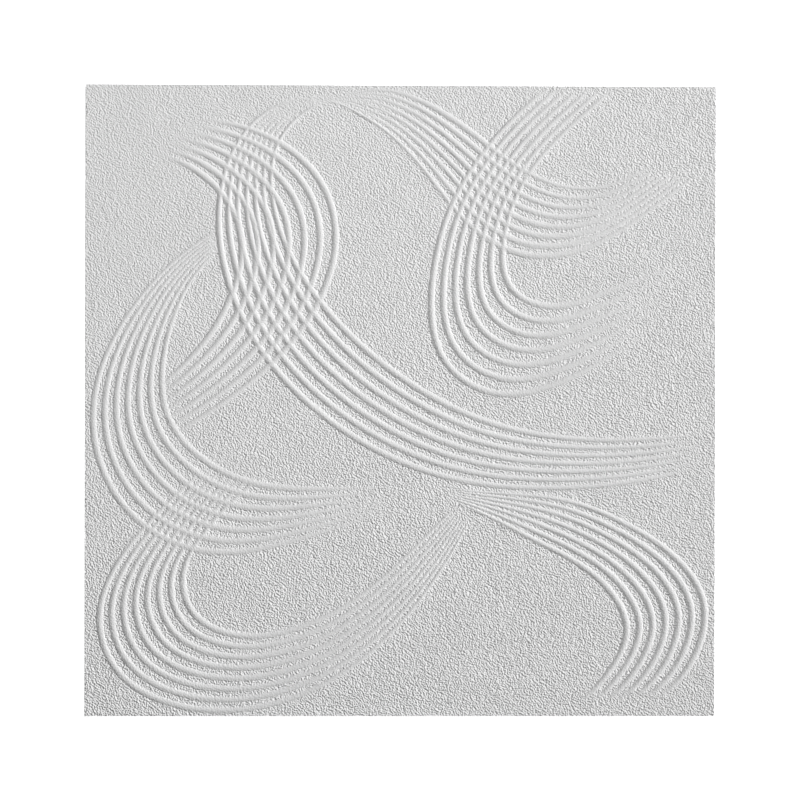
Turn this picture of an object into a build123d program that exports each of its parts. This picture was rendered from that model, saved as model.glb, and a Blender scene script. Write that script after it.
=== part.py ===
"""Foamed polystyrene ceiling tile: one moulded square with seven combed swirls raised on its face."""
import os
from math import pi, sin

from build123d import *

# Driving sizes, in millimetres.
tile_side = 500.0
ground_level = 8.8
ridge_width = 5.4
ridge_root = 0.2
drawn_side = 500.0

# A ridge takes at most this share of the way to the next one, and tapers over this share of its
# length at either end.
ridge_share = 0.6
taper_share = 0.25

# Each swirl is one pass of a comb across the face. The first and the last tooth follow the two
# lines given here, and the teeth between are spaced evenly from one to the other. Points are x to
# the right and y up from the middle of a square of the drawn side. Starts and ends give how much
# of the full ridge is left where the comb comes down and where it lifts off.
swirls = [
    {
        "place": "loop at upper left",
        "teeth": 7,
        "height": 1.0,
        "starts": 0.25,
        "ends": 0.25,
        "first": [
            (-162, 222), (-127, 217), (-93, 202), (-62, 170), (-52, 130),
            (-67, 75), (-105, 27), (-150, -8), (-191, -33),
        ],
        "last": [
            (-196, 195), (-152, 174), (-136, 155), (-128, 136), (-126, 117),
            (-134, 84), (-152, 51), (-176, 24), (-200, 3),
        ],
    },
    {
        "place": "long sweep from the top to the right edge",
        "teeth": 7,
        "height": 1.2,
        "starts": 0.2,
        "ends": 0.25,
        "first": [
            (-68, 240), (-94, 235), (-125, 211), (-143, 165), (-139, 102), (-110, 39),
            (-46, -23), (35, -60), (120, -69), (190, -63), (243, -50),
        ],
        "last": [
            (-64, 235), (-80, 226), (-98, 203), (-102, 160), (-85, 110), (-53, 65),
            (4, 16), (70, -17), (139, -30), (197, -30), (243, -26),
        ],
    },
    {
        "place": "dip at upper right",
        "teeth": 8,
        "height": 1.0,
        "starts": 0.2,
        "ends": 0.25,
        "first": [
            (-56, 240), (-36, 244), (-13, 246), (17, 237), (50, 217),
            (89, 188), (126, 171), (160, 170), (184, 179), (202, 187),
        ],
        "last": [
            (-52, 236), (-40, 231), (-21, 220), (3, 200), (26, 173),
            (60, 135), (100, 116), (148, 122), (195, 150), (237, 181),
        ],
    },
    {
        "place": "hook at right",
        "teeth": 7,
        "height": 1.2,
        "starts": 0.5,
        "ends": 0.2,
        "first": [
            (115, 247), (75, 209), (41, 157), (25, 95), (37, 29),
            (76, 6), (124, 14), (167, 36), (207, 63),
        ],
        "last": [
            (165, 245), (131, 215), (101, 180), (83, 137), (89, 88),
            (119, 75), (156, 84), (190, 97), (224, 111),
        ],
    },
    {
        "place": "hook at left",
        "teeth": 7,
        "height": 1.2,
        "starts": 0.2,
        "ends": 0.2,
        "first": [
            (-148, 133), (-186, 104), (-219, 63), (-240, 15), (-241, -38),
            (-212, -91), (-156, -119), (-88, -112), (-4, -87),
        ],
        "last": [
            (-147, 117), (-165, 97), (-181, 63), (-189, 24), (-185, -11),
            (-160, -44), (-118, -65), (-70, -70), (-6, -70),
        ],
    },
    {
        "place": "bowl at lower left",
        "teeth": 8,
        "height": 1.0,
        "starts": 0.25,
        "ends": 0.25,
        "first": [
            (-147, -45), (-188, -85), (-220, -123), (-238, -172), (-224, -214),
            (-174, -242), (-113, -243), (-54, -221), (8, -167), (56, -91),
        ],
        "last": [
            (-100, -54), (-130, -77), (-155, -104), (-172, -138), (-165, -167),
            (-128, -186), (-86, -182), (-44, -163), (2, -126), (46, -82),
        ],
    },
    {
        "place": "arch at lower right",
        "teeth": 7,
        "height": 1.1,
        "starts": 0.2,
        "ends": 0.3,
        "first": [
            (41, -70), (88, -74), (135, -80), (178, -97),
            (216, -122), (241, -159), (238, -193), (199, -238),
        ],
        "last": [
            (37, -78), (73, -93), (108, -111), (140, -128),
            (166, -150), (180, -181), (172, -206), (139, -242),
        ],
    },
]


def tooth_point(swirl, number, tooth):
    """One point of a tooth's line, between the first and the last line of its swirl."""
    near = Vector(*swirl["first"][number])
    far = Vector(*swirl["last"][number])
    drawn = near + (far - near) * (tooth / (swirl["teeth"] - 1))
    return drawn * (tile_side / drawn_side) + Vector(0, 0, ground_level)


def swell(swirl, along):
    """How much of the full ridge stands at this share of its length."""
    least = swirl["starts"] if along < 0.5 else swirl["ends"]
    from_end = min(along, 1 - along)
    return least + (1 - least) * sin(pi / 2 * min(1, from_end / taper_share))


def ridge(swirl, tooth):
    """One ridge: a crest that rises and dies away, with a flank down to a foot on either side."""
    last_number = len(swirl["first"]) - 1
    points = [tooth_point(swirl, number, tooth) for number in range(last_number + 1)]
    with BuildLine(mode=Mode.PRIVATE) as path:
        Spline(*points)
    crest = []
    left_foot = []
    right_foot = []
    for number, point in enumerate(points):
        aside = Vector(0, 0, 1).cross(path.edge().tangent_at(point)).normalized()
        spacing = abs(aside.dot(tooth_point(swirl, number, 1) - tooth_point(swirl, number, 0)))
        width = min(ridge_width * swell(swirl, number / last_number), ridge_share * spacing)
        height = swirl["height"] * width / ridge_width
        root = ridge_root * width / ridge_width
        half = width / 2 * (1 + root / height)
        crest.append(point + Vector(0, 0, height))
        left_foot.append(point + aside * half - Vector(0, 0, root))
        right_foot.append(point - aside * half - Vector(0, 0, root))
    lines = [Edge.make_spline(stations) for stations in (left_foot, crest, right_foot)]
    sides = [Face.make_surface_from_curves(lines[k], lines[(k + 1) % 3]) for k in range(3)]
    tips = [Face(Wire.make_polygon([left_foot[k], crest[k], right_foot[k]])) for k in (0, -1)]
    return Solid(Shell(sides + tips))


with BuildPart() as ceiling_tile:
    # The plain square of foam, flat at the back.
    with BuildSketch():
        Rectangle(tile_side, tile_side)
    extrude(amount=ground_level)
    # The combed ridges stand on the face and run through each other where swirls cross.
    add([ridge(swirl, tooth) for swirl in swirls for tooth in range(swirl["teeth"])])

os.makedirs("parts", exist_ok=True)
ceiling_tile.part.label = "ceiling_tile"
export_step(ceiling_tile.part, "parts/ceiling_tile.step", write_pcurves=False)
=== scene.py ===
"""Looks for the foamed polystyrene ceiling tile: a stippled white face with raised combed swirls."""
import math

import bpy
import numpy as np
from mathutils import Euler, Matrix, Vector
from mathutils.geometry import delaunay_2d_cdt


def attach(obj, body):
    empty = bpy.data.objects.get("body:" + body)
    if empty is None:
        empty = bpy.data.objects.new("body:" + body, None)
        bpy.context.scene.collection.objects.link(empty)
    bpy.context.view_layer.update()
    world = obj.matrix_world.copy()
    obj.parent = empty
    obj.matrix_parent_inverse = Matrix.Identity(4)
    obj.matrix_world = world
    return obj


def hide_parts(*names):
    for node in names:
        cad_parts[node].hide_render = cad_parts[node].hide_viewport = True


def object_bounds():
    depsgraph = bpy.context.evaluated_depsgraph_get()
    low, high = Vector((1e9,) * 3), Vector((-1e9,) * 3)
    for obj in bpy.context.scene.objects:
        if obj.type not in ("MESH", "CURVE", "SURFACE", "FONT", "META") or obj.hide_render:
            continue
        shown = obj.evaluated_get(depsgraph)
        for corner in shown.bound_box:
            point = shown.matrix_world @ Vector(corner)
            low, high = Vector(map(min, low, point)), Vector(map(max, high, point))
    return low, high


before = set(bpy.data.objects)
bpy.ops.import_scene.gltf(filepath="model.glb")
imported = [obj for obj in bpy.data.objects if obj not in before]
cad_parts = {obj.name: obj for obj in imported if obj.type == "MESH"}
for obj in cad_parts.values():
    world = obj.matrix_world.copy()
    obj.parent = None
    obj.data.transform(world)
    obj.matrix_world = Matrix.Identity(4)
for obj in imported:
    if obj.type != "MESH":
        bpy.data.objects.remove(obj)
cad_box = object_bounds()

# Lengths of the tile are in millimetres up to the finished mesh, which is in metres.
MM = 0.001
HALF = (cad_box[1][0] - cad_box[0][0]) / 2 / MM    # half the tile's side
GROUND = 8.8                                       # stippled ground above the back
TOP_LIMIT = 10.0                                   # nothing stands higher than this

# Each swirl is one pass of a comb across the face. The first and the last tooth follow the two
# lines given here, and the teeth between are spaced evenly. Points are x to the right and y up from
# the middle of the tile. Rise is how far the first tooth, those between and the last one take to
# stand up from their start, and fall is how far all of them take to die away to their end.
SWIRLS = [
    # Loop at upper left.
    dict(teeth=7, height=0.96, rise=(40, 40, 40), fall=45,
         first=[(-162, 222), (-127, 217), (-93, 202), (-62, 170), (-52, 130),
                (-67, 75), (-105, 27), (-150, -8), (-191, -33)],
         last=[(-196, 195), (-152, 174), (-136, 155), (-128, 136), (-126, 117),
               (-134, 84), (-152, 51), (-176, 24), (-200, 3)]),
    # Long sweep from the top to the right edge.
    dict(teeth=7, height=1.10, rise=(50, 120, 16), fall=55,
         first=[(-61, 241), (-68, 240), (-94, 235), (-125, 211), (-143, 165), (-139, 102),
                (-110, 39), (-46, -23), (35, -60), (120, -69), (190, -63), (243, -50)],
         last=[(-60, 236), (-64, 235), (-80, 226), (-98, 203), (-102, 160), (-85, 110),
               (-53, 65), (4, 16), (70, -17), (139, -30), (197, -30), (243, -26)]),
    # Dip at upper right.
    dict(teeth=8, height=0.92, rise=(95, 95, 16), fall=20,
         first=[(-61, 240), (-56, 240), (-36, 244), (-13, 246), (17, 237), (50, 217),
                (89, 188), (126, 171), (160, 170), (184, 179), (202, 187)],
         last=[(-60, 237), (-52, 236), (-40, 231), (-21, 220), (3, 200), (26, 173),
               (60, 135), (100, 116), (148, 122), (195, 150), (237, 181)]),
    # Hook at right.
    dict(teeth=7, height=1.10, rise=(12, 12, 12), fall=110,
         first=[(115, 247), (75, 209), (41, 157), (25, 95), (37, 29),
                (76, 6), (124, 14), (167, 36), (207, 63)],
         last=[(165, 245), (131, 215), (101, 180), (83, 137), (89, 88),
               (119, 75), (156, 84), (190, 97), (224, 111)]),
    # Hook at left.
    dict(teeth=7, height=0.78, rise=(6, 6, 6), fall=75,
         first=[(-148, 133), (-186, 104), (-219, 63), (-240, 15), (-241, -38),
                (-212, -91), (-156, -119), (-88, -112), (-4, -87)],
         last=[(-147, 117), (-165, 97), (-181, 63), (-189, 24), (-185, -11),
               (-160, -44), (-118, -65), (-70, -70), (-6, -70)]),
    # Bowl at lower left.
    dict(teeth=8, height=0.91, rise=(45, 45, 45), fall=15,
         first=[(-147, -45), (-188, -85), (-220, -123), (-238, -172), (-224, -214),
                (-174, -242), (-113, -243), (-54, -221), (8, -167), (56, -91)],
         last=[(-100, -54), (-130, -77), (-155, -104), (-172, -138), (-165, -167),
               (-128, -186), (-86, -182), (-44, -163), (2, -126), (46, -82)]),
    # Arch at lower right.
    dict(teeth=7, height=1.20, rise=(15, 15, 35), fall=28,
         first=[(41, -70), (88, -74), (135, -80), (178, -97),
                (216, -122), (241, -159), (238, -193), (199, -238)],
         last=[(37, -78), (73, -93), (108, -111), (140, -128),
               (166, -150), (180, -181), (172, -206), (139, -242)]),
]

# A ridge's section.
LEAN = (0.3, 0.08)      # how far the crests lie to the right of the middle and up from it
LEAST_WIDTH = 0.9
WIDTH_OF_PITCH = 0.50   # and a ridge is wider by this share of the way to the next one
WIDEST = 5.6
TIP = 0.7               # how much of the width is left where a ridge has died away
FALL = 0.6              # how fast a ridge gets lower as it gets narrower
CREST = 1.7             # the higher, the flatter the crest
FOOT = 0.85             # the lower, the steeper the flanks at their foot

# Spacing of the mesh.
STEP = 0.5              # between the samples along a ridge
ALONG = 4.0             # between mesh points along a ridge
SPACING = 2.05          # between mesh points of the ground
OFF_GRID = 0.2          # share of that by which they lie off an even grid, at most
GRID_SEED = 7
EDGE = 2.0              # between mesh points of the tile's edge
RIM = 0.2               # from the edge to the next mesh points
INSIDE = 0.7            # from the edge to those of the ridges and the ground
LOWEST = 0.04           # ridge that still gets mesh points of its own
CLEAR = 1.1             # from a ridge's foot to mesh points of the ground
CLOSEST = 0.20          # mesh points nearer than this are one
BACK_LINES = 24         # lines of mesh points across the back
TOUCHING = 1e-5         # points of a triangle are further apart than this

# Rows of mesh points along a ridge, in half widths from its middle. The ridges of at least the
# half width given here have the closer rows.
WIDE_FROM = 2.0
WIDE_ROWS = (-1.12, -1.0, -0.88, -0.5, 0.0, 0.5, 0.88, 1.0, 1.12)
NARROW_ROWS = (-1.08, -0.55, 0.0, 0.55, 1.08)

# The points near a ridge are found by square cells, and its samples are compared with them in
# batches.
CELL = 6.0
BATCH = 60

# Stipple of the ground.
STIPPLE = 0.10          # spread of its height in the mesh
SHORTEST = 3.4          # wavelengths of its bumps
LONGEST = 9.0
TALLEST = 2.2           # bumps are cut off at this many times their spread
STIPPLE_SEED = 11
ON_RIDGE = 0.30         # how much of it is left on a ridge
SMOOTH_TO = 0.75        # half widths from a ridge's middle to where it starts to come back
COMES_BACK = 0.33       # half widths that it takes to do so
COMBED = 0.58           # how smooth the comb leaves a line that doesn't stand up yet
SOONER = 1.2            # how much faster a line gets smooth than its ridge stands up
ENDS_IN = 15.0          # how far that smoothness takes to go at a line's end
FAINTEST = 0.50         # how much of the stipple is left at the upper left corner
GAIN = 1.5              # how fast it gets stronger from there to the lower right corner


def end_slope(along, points):
    """Slope, at the first of four points, of the cubic through them."""
    powers = np.vander(along - along[0], 4, increasing=True)
    return np.linalg.solve(powers, points)[1]


def spline(points, samples):
    """Places and slopes along the smooth cubic through the points."""
    knots = np.array(points, float)
    gaps = np.hypot(*np.diff(knots, axis=0).T)
    along = np.concatenate([[0], np.cumsum(gaps)])
    count = len(knots)
    table = np.zeros((count, count))
    wanted = np.zeros_like(knots)
    table[0, 0] = table[-1, -1] = 1
    wanted[0] = end_slope(along[:4], knots[:4])
    wanted[-1] = end_slope(along[::-1][:4], knots[::-1][:4])
    for i in range(1, count - 1):
        before, after = gaps[i - 1], gaps[i]
        table[i, i - 1] = 1 / before
        table[i, i] = 2 / before + 2 / after
        table[i, i + 1] = 1 / after
        coming, going = knots[i] - knots[i - 1], knots[i + 1] - knots[i]
        wanted[i] = 3 * coming / before ** 2 + 3 * going / after ** 2
    slopes = np.linalg.solve(table, wanted)
    where = np.linspace(0, along[-1], samples)
    i = np.clip(np.searchsorted(along, where, side="right") - 1, 0, count - 2)
    span = gaps[i][:, None]
    share = (where - along[i])[:, None] / span
    start, end = knots[i], knots[i + 1]
    leaving, arriving = slopes[i] * span, slopes[i + 1] * span
    square = 3 * (end - start) - 2 * leaving - arriving
    cube = 2 * (start - end) + leaving + arriving
    place = start + leaving * share + square * share ** 2 + cube * share ** 3
    slope = (leaving + 2 * square * share + 3 * cube * share ** 2) / span
    return place, slope


def smooth(x):
    """Rise from 0 to 1 with level ends."""
    x = np.clip(x, 0, 1)
    return x * x * (3 - 2 * x)


def ridge_lines():
    """Every ridge as samples along it: place, way, side, half width, height, smoothness and lean."""
    ridges = []
    for swirl in SWIRLS:
        first = np.array(swirl["first"], float)
        last = np.array(swirl["last"], float)
        gaps = swirl["teeth"] - 1
        first_rise, inner_rise, last_rise = swirl["rise"]
        rises = [first_rise] + [inner_rise] * (gaps - 1) + [last_rise]
        for tooth, rise in enumerate(rises):
            line = first + (last - first) * tooth / gaps
            length = np.hypot(*np.diff(line, axis=0).T).sum()
            count = int(length / STEP)
            place, slope = spline(line, count)
            way = slope / np.hypot(slope[:, 0], slope[:, 1])[:, None]
            side = np.stack([-way[:, 1], way[:, 0]], 1)
            across = spline(last, count)[0] - spline(first, count)[0]
            pitch = np.abs((across * side).sum(1)) / gaps
            done = np.linspace(0, length, count)
            fade = smooth(done / rise) * smooth((length - done) / swirl["fall"])
            width = np.clip(LEAST_WIDTH + WIDTH_OF_PITCH * pitch, LEAST_WIDTH, WIDEST)
            width = np.maximum(width * (TIP + (1 - TIP) * fade), LEAST_WIDTH)
            height = swirl["height"] * (width / WIDEST) ** FALL * fade
            plain = COMBED + (1 - COMBED) * smooth(SOONER * fade)
            plain = smooth((length - done) / ENDS_IN) * plain
            lean = side @ LEAN / (width / 2)
            ridges.append(dict(place=place, way=way, side=side, half=width / 2, height=height,
                               plain=plain, lean=lean))
    return ridges


def section(across, lean):
    """Height over a ridge's width, from 1 on the crest to 0 at either foot, which are at 1 and -1."""
    beyond, short = (across - lean) / (1 - lean), (lean - across) / (1 + lean)
    from_crest = np.where(across > lean, beyond, short)
    return np.clip(1 - from_crest ** CREST, 0, None) ** FOOT


def nearest_samples(xy, places):
    """For each point the number of the place that is nearest to it."""
    nearest = np.zeros(len(xy), int)
    gap = np.full(len(xy), np.inf)
    for start in range(0, len(places), BATCH):
        squares = ((xy[:, None, :] - places[None, start:start + BATCH]) ** 2).sum(2)
        number = squares.argmin(1)
        least = squares[np.arange(len(xy)), number]
        closer = least < gap
        gap[closer] = least[closer]
        nearest[closer] = number[closer] + start
    return nearest


def relief(xy, ridges):
    """Each point's height over the ground, how much it is on a ridge and how far from the next foot."""
    high = np.zeros(len(xy))
    on = np.zeros(len(xy))
    away = np.full(len(xy), np.inf)
    cells = int(2 * HALF / CELL) + 3
    cell = np.clip(((xy + HALF) / CELL).astype(int) + 1, 0, cells - 1)
    for ridge in ridges:
        near = np.zeros((cells, cells), bool)
        at = np.clip(((ridge["place"] + HALF) / CELL).astype(int) + 1, 1, cells - 2)
        for dx in (-1, 0, 1):
            for dy in (-1, 0, 1):
                near[at[:, 0] + dx, at[:, 1] + dy] = True
        some = np.nonzero(near[cell[:, 0], cell[:, 1]])[0]
        nearest = nearest_samples(xy[some], ridge["place"])
        half = ridge["half"][nearest]
        height = ridge["height"][nearest]
        off = xy[some] - ridge["place"][nearest]
        across = (off * ridge["side"][nearest]).sum(1) / half
        beside = np.abs((off * ridge["way"][nearest]).sum(1)) < 2 * STEP
        rise = height * section(across, ridge["lean"][nearest]) * beside
        here = 1 - smooth((np.abs(across) - SMOOTH_TO) / COMES_BACK)
        here = here * ridge["plain"][nearest] * beside
        high[some] = np.maximum(high[some], rise)
        on[some] = np.maximum(on[some], here)
        beyond = (np.abs(across) - 1) * half
        stands = beside & (height > LOWEST)
        away[some] = np.minimum(away[some], np.where(stands, beyond, np.inf))
    return high, on, away


def bumps(seed, shortest, longest, cells=1024, sharpness=4):
    """Even random bumps of spread one on a square grid, with wavelengths between the two given."""
    rng = np.random.default_rng(seed)
    rate = np.fft.fftfreq(cells, 2 * HALF / cells)
    rate = np.hypot(*np.meshgrid(rate, rate))
    fine = np.exp(-(rate * shortest) ** sharpness)
    coarse = np.exp(-(rate * longest) ** sharpness)
    field = np.fft.fft2(rng.standard_normal((cells, cells)))
    field = np.fft.ifft2(field * (fine * (1 - coarse))).real
    return field / field.std()


def sample(field, xy):
    """The field's value at each point, smoothly between its cells."""
    cells = len(field)
    place = (xy + HALF) / (2 * HALF) * cells
    cell = np.floor(place).astype(int)
    right, up = (place - cell).T
    x0, y0 = cell[:, 0] % cells, cell[:, 1] % cells
    x1, y1 = (x0 + 1) % cells, (y0 + 1) % cells
    lower = field[x0, y0] * (1 - right) + field[x1, y0] * right
    upper = field[x0, y1] * (1 - right) + field[x1, y1] * right
    return lower * (1 - up) + upper * up


def edge_points(inset):
    """Points round the tile's edge, in order, this far in from it."""
    count = int(2 * HALF / EDGE)
    run = np.linspace(-HALF + inset, HALF - inset, count + 1)[:-1]
    end = np.full(count, HALF - inset)
    four_sides = ((run, -end), (end, run), (-run, end), (-end, -run))
    return np.concatenate([np.stack(side, 1) for side in four_sides])


def ridge_points(ridges):
    """Rows of points along the ridges, more of them on the wider ones, and the lines that join them."""
    every = int(ALONG / STEP)
    made, joined, count = [], [], 0
    for ridge in ridges:
        pick = np.arange(0, len(ridge["place"]), every)
        pick = pick[ridge["height"][pick] > LOWEST]
        wide = ridge["half"][pick] >= WIDE_FROM
        for some, rows in ((pick[wide], WIDE_ROWS), (pick[~wide], NARROW_ROWS)):
            follows = np.nonzero(np.diff(some) == every)[0]
            for row in rows:
                shift = row + ridge["lean"][some] * max(0, 1 - abs(row))
                aside = ridge["side"][some] * (shift * ridge["half"][some])[:, None]
                made.append(ridge["place"][some] + aside)
                joined.append(np.stack([follows, follows + 1], 1) + count)
                count += len(some)
    return np.concatenate(made), np.concatenate(joined)


def ground_points(ridges):
    """Points between the ridges, on a slightly uneven triangular grid."""
    rng = np.random.default_rng(GRID_SEED)
    lines = int(2 * HALF / (SPACING * math.sqrt(3) / 2))
    made = []
    for line in range(1, lines):
        start = -HALF + SPACING * (0.5 + 0.5 * (line % 2))
        x = np.arange(start, HALF - 0.5 * SPACING, SPACING)
        y = np.full(len(x), -HALF + line * 2 * HALF / lines)
        made.append(np.stack([x, y], 1))
    made = np.concatenate(made)
    made += rng.uniform(-OFF_GRID, OFF_GRID, made.shape) * SPACING
    return made[relief(made, ridges)[2] > CLEAR]


def thinned(points, joined):
    """The points well within the edge, one where several almost touch, and the lines between them."""
    cell = np.floor(points / CLOSEST).astype(int)
    _, first, same = np.unique(cell, axis=0, return_index=True, return_inverse=True)
    stands_for = first[same.ravel()]
    kept = np.zeros(len(points), bool)
    kept[first] = True
    kept &= np.abs(points).max(1) < HALF - INSIDE
    number = np.cumsum(kept) - 1
    ends = stands_for[joined]
    ends = ends[kept[ends].all(1) & (ends[:, 0] != ends[:, 1])]
    return points[kept], number[np.unique(np.sort(ends, 1), axis=0)]


def triangles(points, lines=()):
    """The points and the triangles between them, facing up, with the lines among their sides."""
    corners = [Vector(point) for point in points.tolist()]
    lines = [tuple(pair) for pair in np.asarray(lines).tolist()]
    fill_all = 0
    made = delaunay_2d_cdt(corners, lines, [], fill_all, TOUCHING)
    return np.array([tuple(corner) for corner in made[0]]), np.array(made[2])


def face(edge):
    """The face's points with their heights, its triangles and how much stipple is at each point."""
    ridges = ridge_lines()
    rows, joined = ridge_points(ridges)
    inner, lines = thinned(np.concatenate([rows, ground_points(ridges)]), joined)
    rim = np.concatenate([edge, edge_points(RIM)])
    points, faces = triangles(np.concatenate([rim, inner]), lines + len(rim))
    high, on, _ = relief(points, ridges)
    down_right = (points[:, 0] - points[:, 1]) / (4 * HALF) + 0.5
    full = FAINTEST + (1 - FAINTEST) * smooth(down_right * GAIN)
    stipple = (1 - (1 - ON_RIDGE) * on) * full
    uneven = sample(bumps(STIPPLE_SEED, SHORTEST, LONGEST), points)
    uneven = np.clip(uneven, -TALLEST, TALLEST)
    z = np.minimum(GROUND + high + STIPPLE * stipple * uneven, TOP_LIMIT)
    return np.column_stack([points, z]), faces, stipple


def back(edge):
    """The flat back's points and its triangles, which face down."""
    line = np.linspace(-HALF, HALF, BACK_LINES + 2)[1:-1]
    inner = np.stack(np.meshgrid(line, line), 2).reshape(-1, 2)
    points, faces = triangles(np.concatenate([edge, inner]))
    return np.column_stack([points, np.zeros(len(points))]), faces[:, ::-1]


def tile_mesh():
    """The whole tile as one closed mesh: the relief of the face, the four sides and the back."""
    edge = edge_points(0)
    top, top_faces, stipple = face(edge)
    bottom, bottom_faces = back(edge)
    count = len(top)
    i = np.arange(len(edge))
    j = (i + 1) % len(edge)
    low_halves = np.stack([count + i, count + j, j], 1)
    high_halves = np.stack([count + i, j, i], 1)
    places = np.concatenate([top, bottom])
    faces = np.concatenate([top_faces, bottom_faces + count, low_halves, high_halves])

    mesh = bpy.data.meshes.new("foam_tile")
    mesh.from_pydata((places * MM).tolist(), [], faces.tolist())
    mesh.polygons.foreach_set("use_smooth", np.arange(len(faces)) < len(top_faces))
    mesh.update()
    strength = np.zeros(len(places), np.float32)
    strength[:count] = stipple
    mesh.attributes.new("stipple", "FLOAT", "POINT").data.foreach_set("value", strength)
    return mesh


# The foam's look. Its fine grain is the stipple that is too small for the mesh.
WHITE = (1, 1, 1, 1)
FOAM_ROUGHNESS = 0.75
FOAM_SHINE = 0.25
GRAIN = 790.0                   # to a metre, as are the beads and the clouds
GRAIN_DEPTH = 0.0018
GRAIN_TURN = (0.5, 0.4, 0.6)    # so that it doesn't run in rows along the tile
SMOOTH_TONE = 0.69
ROUGH_TONE = 0.80
# Beads on the back and the sides, in colour only. Each is lighter in its middle and darker toward its
# seams, which is painted shade of the grooves between the beads.
BEADS = 270.0
BEAD_TONE, SEAM_PAINTED_SHADE = 0.86, 0.76
BEAD_ENDS, SEAM_SHADE_STARTS = 0.35, 0.75
FACE_UP = 0.4                   # what looks up less than this is a side or the back
CLOUDS = dict(scale=38.0, detail=3.0, roughness=0.6)
CLOUD_TONE = 0.96
CLOUD_STARTS, CLOUD_ENDS = 0.3, 0.7


def foam_material():
    """Matt white foam: fine stipple on the face, faint beads on the back and the sides with painted
    shade toward their seams.
    """
    mat = bpy.data.materials.new("white_foam")
    mat.use_nodes = True
    nodes, links = mat.node_tree.nodes, mat.node_tree.links
    shader = nodes["Principled BSDF"]
    shader.inputs["Roughness"].default_value = FOAM_ROUGHNESS
    shader.inputs["Specular IOR Level"].default_value = FOAM_SHINE
    place = nodes.new("ShaderNodeTexCoord")
    turned = nodes.new("ShaderNodeMapping")
    turned.inputs["Rotation"].default_value = GRAIN_TURN
    links.new(place.outputs["Object"], turned.inputs["Vector"])

    def noise(scale, detail, roughness):
        node = nodes.new("ShaderNodeTexNoise")
        node.inputs["Scale"].default_value = scale
        node.inputs["Detail"].default_value = detail
        node.inputs["Roughness"].default_value = roughness
        links.new(turned.outputs["Vector"], node.inputs["Vector"])
        return node.outputs["Fac"]

    def ramp(fac, low, high, start=0.0, end=1.0):
        node = nodes.new("ShaderNodeValToRGB")
        node.color_ramp.elements[0].position = start
        node.color_ramp.elements[1].position = end
        node.color_ramp.elements[0].color = (low, low, low, 1)
        node.color_ramp.elements[1].color = (high, high, high, 1)
        links.new(fac, node.inputs["Fac"])
        return node.outputs["Color"]

    def mixed(blend, factor, one, other):
        node = nodes.new("ShaderNodeMix")
        node.data_type = "RGBA"
        node.blend_type = blend
        if isinstance(factor, float):
            node.inputs["Factor"].default_value = factor
        else:
            links.new(factor, node.inputs["Factor"])
        links.new(one, node.inputs["A"])
        links.new(other, node.inputs["B"])
        return node.outputs["Result"]

    stipple = nodes.new("ShaderNodeAttribute")
    stipple.attribute_name = "stipple"
    face_tone = ramp(stipple.outputs["Fac"], SMOOTH_TONE, ROUGH_TONE)
    bump = nodes.new("ShaderNodeBump")
    bump.inputs["Distance"].default_value = GRAIN_DEPTH
    links.new(stipple.outputs["Fac"], bump.inputs["Strength"])
    links.new(noise(GRAIN, detail=0.0, roughness=0.5), bump.inputs["Height"])
    links.new(bump.outputs["Normal"], shader.inputs["Normal"])

    beads = nodes.new("ShaderNodeTexVoronoi")
    beads.inputs["Scale"].default_value = BEADS
    links.new(place.outputs["Object"], beads.inputs["Vector"])
    # Lighter bead middles that darken toward the seams: painted shade of the grooves between the beads.
    beads_with_painted_shade = ramp(beads.outputs["Distance"], BEAD_TONE, SEAM_PAINTED_SHADE, BEAD_ENDS, SEAM_SHADE_STARTS)
    normal = nodes.new("ShaderNodeSeparateXYZ")
    links.new(place.outputs["Normal"], normal.inputs["Vector"])
    plain = nodes.new("ShaderNodeMath")
    plain.operation = "LESS_THAN"
    plain.inputs[1].default_value = FACE_UP
    links.new(normal.outputs["Z"], plain.inputs[0])

    tone = mixed("MIX", plain.outputs["Value"], face_tone, beads_with_painted_shade)
    clouds = ramp(noise(**CLOUDS), CLOUD_TONE, 1.0, CLOUD_STARTS, CLOUD_ENDS)
    tone = mixed("MULTIPLY", 1.0, tone, clouds)
    links.new(tone, shader.inputs["Base Color"])
    return mat


def add_tile():
    """The tile itself, in place of the plain solid."""
    tile = bpy.data.objects.new("foam_tile", tile_mesh())
    bpy.context.scene.collection.objects.link(tile)
    tile.data.materials.append(foam_material())
    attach(tile, "root")
    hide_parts("ceiling_tile")


# The floor, with its side and its drop under the tile in metres.
FLOOR_SIDE = 40.0
FLOOR_DROP = 0.0002
FLOOR_TONE = (0.9, 0.9, 0.9, 1)
FLOOR_ROUGHNESS = 0.9
FLOOR_GLOW = 0.85


def add_floor():
    """A plain white floor that stays white under the tile's shadow."""
    bpy.ops.mesh.primitive_plane_add(size=FLOOR_SIDE, location=(0, 0, -FLOOR_DROP))
    floor = bpy.context.object
    floor.name = "floor"
    paper = bpy.data.materials.new("white_floor")
    paper.use_nodes = True
    shader = paper.node_tree.nodes["Principled BSDF"]
    shader.inputs["Base Color"].default_value = FLOOR_TONE
    shader.inputs["Roughness"].default_value = FLOOR_ROUGHNESS
    shader.inputs["Emission Color"].default_value = WHITE
    shader.inputs["Emission Strength"].default_value = FLOOR_GLOW
    floor.data.materials.append(paper)


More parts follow.
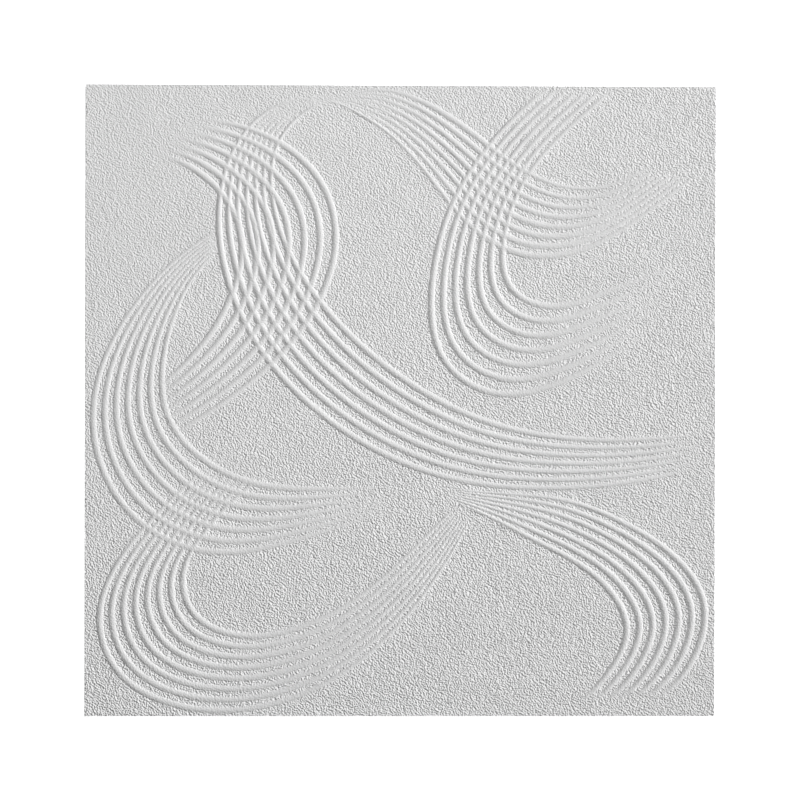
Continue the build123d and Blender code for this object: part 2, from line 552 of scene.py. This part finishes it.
# The lights, with places and sizes in metres.
KEY_TURN = math.radians(14)         # the key comes from the right, turned this much to the far side
KEY_RISE = math.radians(22)
KEY_POWER = 3.2
KEY_SOFTNESS = math.radians(6)
FILL_PLACE = (0.18, 0.46, 1.56)     # over the far edge of the tile
FILL_SIDE = 0.5
FILL_POWER = 14.0
AMBIENT = 0.04


def add_light(name, kind, energy, source):
    """A light of the kind that shines towards the tile's middle from where its source is."""
    light = bpy.data.objects.new(name, bpy.data.lights.new(name, kind))
    light.data.energy = energy
    light.rotation_euler = Vector(source).to_track_quat("Z", "Y").to_euler()
    bpy.context.scene.collection.objects.link(light)
    return light


def add_lights():
    """A raking key from the right, a soft fill overhead and a little light all round."""
    level = math.cos(KEY_RISE)
    to_key = (level * math.cos(KEY_TURN), level * math.sin(KEY_TURN), math.sin(KEY_RISE))
    key = add_light("key", "SUN", KEY_POWER, to_key)
    key.data.angle = KEY_SOFTNESS
    fill = add_light("fill", "AREA", FILL_POWER, FILL_PLACE)
    fill.location = FILL_PLACE
    fill.data.size = FILL_SIDE
    world = bpy.data.worlds.new("studio")
    bpy.context.scene.world = world
    world.use_nodes = True
    surround = world.node_tree.nodes["Background"]
    surround.inputs["Color"].default_value = WHITE
    surround.inputs["Strength"].default_value = AMBIENT


# The camera, with its place in metres and its turn in radians. The sensor's width is in
# millimetres, the focal length in pixels of the picture.
SENSOR = 36.0
PICTURE_SIDE = 800
FOCAL_LENGTH = 2271.5
CAMERA_PLACE = (-0.0318, 0.0045, 1.8098)
CAMERA_TURN = (-0.0022, -0.01725, 0.0022)
FARTHEST = 50


def add_camera():
    """The photograph's view: square on from above, a long lens."""
    camera = bpy.data.objects.new("camera", bpy.data.cameras.new("camera"))
    camera.data.sensor_width = SENSOR
    camera.data.lens = SENSOR * FOCAL_LENGTH / PICTURE_SIDE
    camera.location = CAMERA_PLACE
    camera.rotation_euler = Euler(CAMERA_TURN, "XYZ")
    camera.data.clip_end = FARTHEST
    bpy.context.scene.collection.objects.link(camera)
    bpy.context.scene.camera = camera
    bpy.context.scene.view_settings.view_transform = "Standard"


add_tile()
add_floor()
add_lights()
add_camera()
